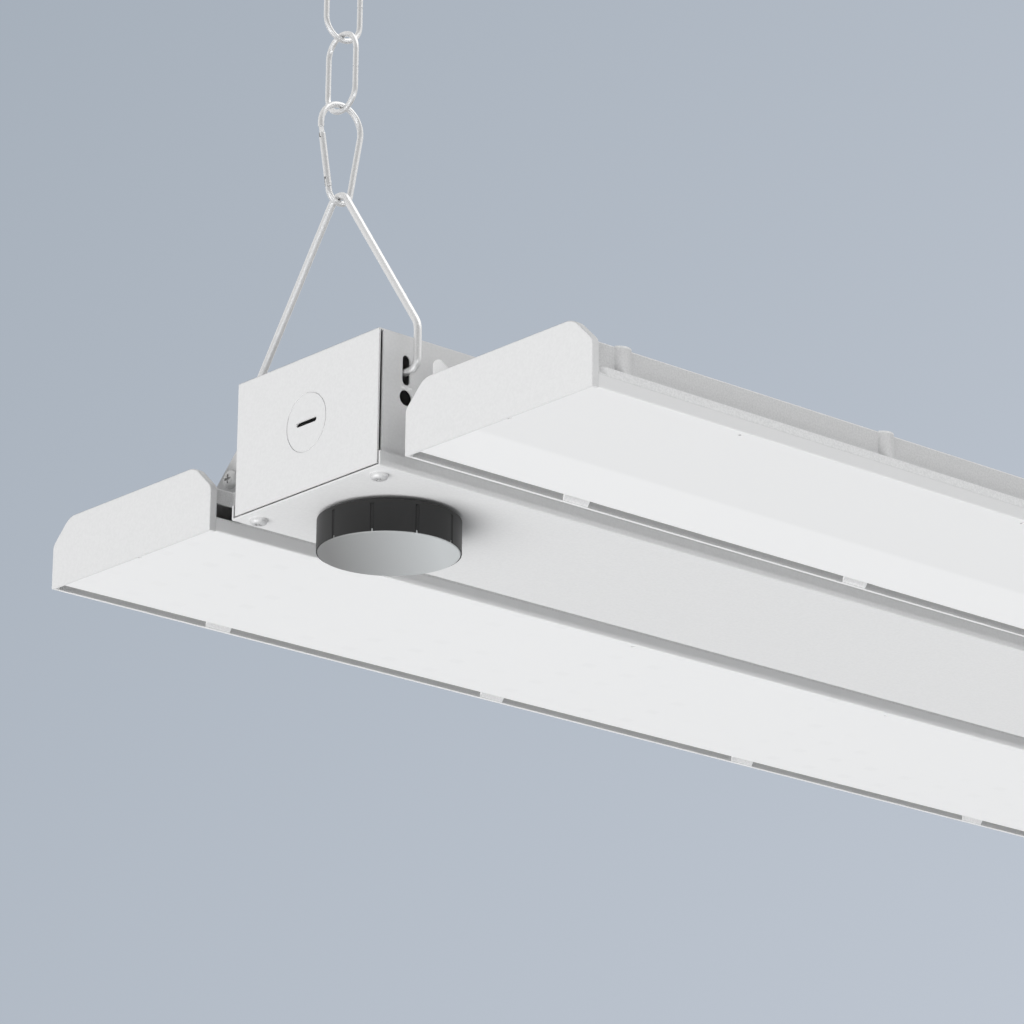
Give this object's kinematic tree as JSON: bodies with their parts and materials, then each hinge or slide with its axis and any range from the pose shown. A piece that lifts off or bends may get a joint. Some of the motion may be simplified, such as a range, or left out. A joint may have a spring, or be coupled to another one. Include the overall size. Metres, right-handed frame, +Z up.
{
  "type": "linear high bay light",
  "caption": "Suspended linear high bay light with a central driver box, a lensed wing on each side, a round sensor, and wire hangers with snap hooks and chain.",
  "frame": {"origin": "middle of the driver box's flat top face", "axes": "+X along the light away from the sensor end, +Z up towards the ceiling, +Y across to the left wing"},
  "size_m": [0.61, 0.3212, 0.2673],
  "materials": {
    "white_paint": "smooth white powder coat",
    "lens_plastic": "opal diffuser",
    "board_white": "white solder mask on an aluminium board",
    "zinc_steel": "bright zinc plated",
    "black_plastic": "fine satin",
    "sensor_lens": "satin grey",
    "green_board": "solder mask",
    "driver_can": "plain",
    "terminal_grey": "moulded",
    "lever_orange": "moulded",
    "lead_jacket": "jacketed lead",
    "rubber_black": "moulded bush",
    "plug_white": "moulded"
  },
  "bodies": {
    "fixture": {"board_screws_left": "zinc_steel", "board_screws_right": "zinc_steel", "cover_screws": "zinc_steel", "driver_cover": "white_paint", "driver_housing": "white_paint", "driver_leads": "lead_jacket", "driver_screws": "zinc_steel", "earth_screw": "zinc_steel", "end_cap_left_front": "white_paint", "end_cap_left_rear": "white_paint", "end_cap_right_front": "white_paint", "end_cap_right_rear": "white_paint", "foot_rivets": "zinc_steel", "grommet_left": "rubber_black", "grommet_right": "rubber_black", "gusset_left_front": "white_paint", "gusset_left_rear": "white_paint", "gusset_right_front": "white_paint", "gusset_right_rear": "white_paint", "join_nuts": "zinc_steel", "join_screws": "zinc_steel", "lead_plug_left": "plug_white", "lead_plug_right": "plug_white", "led_board_left": "board_white", "led_board_right": "board_white", "led_driver": "driver_can", "lens_left": "lens_plastic", "lens_right": "lens_plastic", "sensor_board": "green_board", "sensor_face": "sensor_lens", "sensor_gasket": "rubber_black", "sensor_housing": "black_plastic", "sensor_lead": "lead_jacket", "sensor_nut": "black_plastic", "terminal_block": "terminal_grey", "terminal_levers": "lever_orange", "wall_bracket_left_front": "white_paint", "wall_bracket_left_rear": "white_paint", "wall_bracket_right_front": "white_paint", "wall_bracket_right_rear": "white_paint", "wall_rivets": "zinc_steel", "wing_lead_left": "lead_jacket", "wing_lead_right": "lead_jacket", "wing_tray_left": "white_paint", "wing_tray_right": "white_paint"},
    "front_hanger": {"wire_hanger_front": "zinc_steel", "snap_hook_front": "zinc_steel", "chain_link_front_1": "zinc_steel", "chain_link_front_2": "zinc_steel", "chain_link_front_3": "zinc_steel"},
    "front_gate": {"snap_gate_front": "zinc_steel", "gate_pin_front": "zinc_steel"},
    "rear_hanger": {"wire_hanger_rear": "zinc_steel", "snap_hook_rear": "zinc_steel", "chain_link_rear_1": "zinc_steel", "chain_link_rear_2": "zinc_steel", "chain_link_rear_3": "zinc_steel"},
    "rear_gate": {"snap_gate_rear": "zinc_steel", "gate_pin_rear": "zinc_steel"}
  },
  "joints": [
    {"name": "front_hanger_swing", "type": "hinge", "parent": "fixture", "child": "front_hanger", "pos_m": [-0.2915, 0, -0.0148], "axis": [0, 1, 0], "range_deg": [-85, 40]},
    {"name": "front_gate_pivot", "type": "hinge", "parent": "front_hanger", "child": "front_gate", "pos_m": [-0.29723, 0, 0.07303], "axis": [0, 1, 0], "range_deg": [0, 25], "stiffness_Nm_per_rad": 0.02, "springref_deg": -11.46},
    {"name": "rear_hanger_swing", "type": "hinge", "parent": "fixture", "child": "rear_hanger", "pos_m": [0.2915, 0, -0.0148], "axis": [0, 1, 0], "range_deg": [-40, 85]},
    {"name": "rear_gate_pivot", "type": "hinge", "parent": "rear_hanger", "child": "rear_gate", "pos_m": [0.28578, 0, 0.07303], "axis": [0, 1, 0], "range_deg": [0, 25], "stiffness_Nm_per_rad": 0.02, "springref_deg": -11.46}
  ]
}
